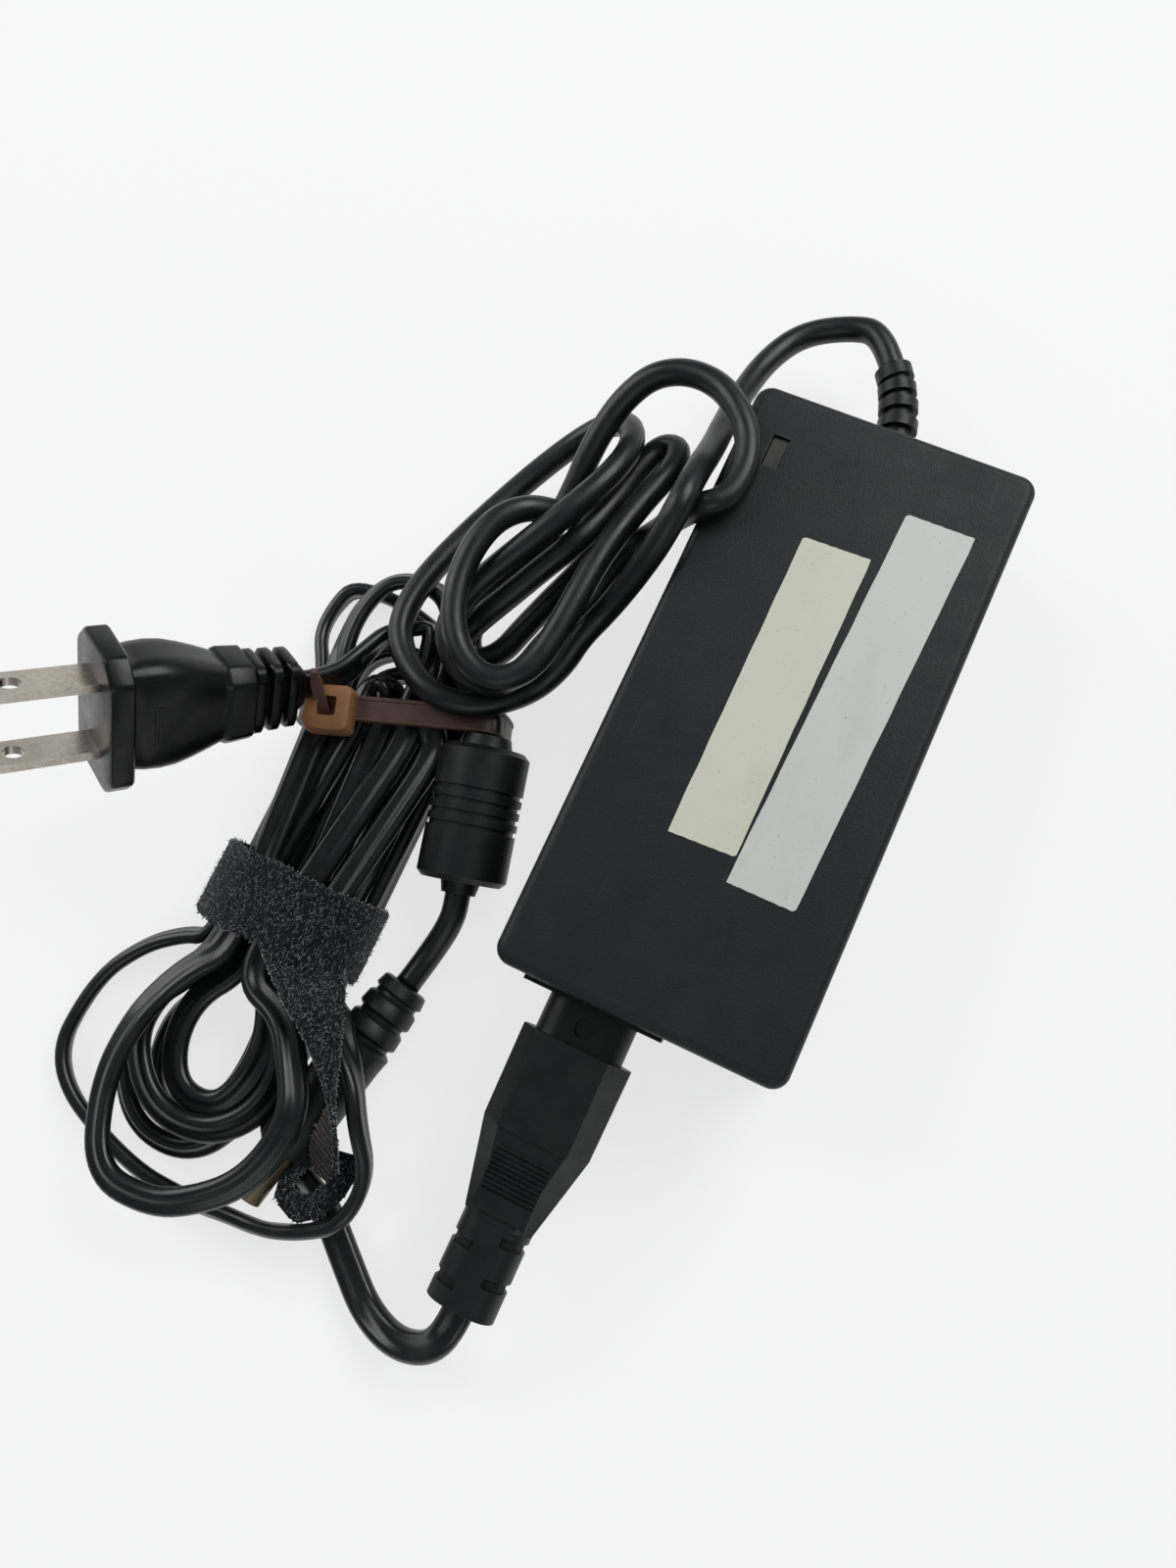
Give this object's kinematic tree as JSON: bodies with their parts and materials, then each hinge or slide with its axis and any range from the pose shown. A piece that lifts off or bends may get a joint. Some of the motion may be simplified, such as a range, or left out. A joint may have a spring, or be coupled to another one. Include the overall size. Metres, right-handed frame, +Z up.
{
  "type": "laptop power adapter",
  "caption": "Mains power adapter for a laptop with its mains lead and low-voltage lead coiled, tied and strapped beside it.",
  "frame": {"origin": "middle of the case's base, on the surface it lies on", "axes": "+Z up, +Y along the case towards the end with the low-voltage lead, +X to the right seen from the inlet end"},
  "size_m": [0.134, 0.2079, 0.0593],
  "materials": {
    "case": "fine matt grain, scuffed at the edges",
    "lens": "translucent smoked lens, unlit",
    "inlet": "semi-gloss moulded black",
    "nickel": "nickel plate, slightly worn",
    "contact_brass": "plain stamped",
    "board": "solder mask",
    "film": "thin sheet",
    "capacitor": "film capacitor case",
    "ceramic": "glazed",
    "ferrite": "sintered",
    "heatsink": "plain sheet",
    "epoxy": "moulded package",
    "can_sleeve": "shrink sleeve",
    "tape": "wound tape",
    "cord_moulding": "flexible black moulding, satin",
    "twin_jacket": "glossy black jacket with a groove between its wires",
    "round_jacket": "smooth semi-gloss black jacket",
    "insulator": "plain",
    "tie_nylon": "translucent brown nylon",
    "strap_fabric": "napped hook-and-loop weave with paler stitched edges"
  },
  "bodies": {
    "root": {"top_cover": "case", "bottom_cover": "case", "light_pipe": "lens", "indicator_lamp": "lens", "ac_inlet_housing": "inlet", "ac_inlet_pins": "nickel", "circuit_board": "board", "insulating_film": "film", "mains_filter_capacitor": "capacitor", "fuse_body": "ceramic", "input_choke": "ferrite", "primary_heatsink": "heatsink", "power_transistor": "epoxy", "bulk_capacitor": "can_sleeve", "transformer_core": "ferrite", "transformer_winding": "tape", "secondary_heatsink": "heatsink", "output_rectifier": "epoxy", "output_capacitors": "can_sleeve", "dc_strain_relief": "cord_moulding", "mains_cord_tail": "twin_jacket", "mains_cord_hank": "twin_jacket", "mains_cord_to_plug": "twin_jacket", "mains_plug_body": "cord_moulding", "mains_plug_blades": "nickel", "dc_cord_free": "round_jacket", "dc_cord_hank": "round_jacket", "ferrite_moulding": "cord_moulding", "ferrite_core": "ferrite", "dc_cord_to_plug": "round_jacket", "dc_plug_body": "cord_moulding", "dc_plug_sleeve": "nickel", "dc_plug_insulator": "insulator", "dc_plug_contact": "contact_brass", "cable_tie": "tie_nylon", "hook_loop_strap": "strap_fabric"},
    "mains_connector": {"mains_connector_body": "cord_moulding", "mains_connector_contacts": "contact_brass"}
  },
  "joints": [
    {"name": "connector_slide", "type": "slide", "parent": "root", "child": "mains_connector", "axis": [0, -1, 0], "range_m": [-0.0058, 0.008], "deforming": ["mains_cord_tail"]}
  ]
}
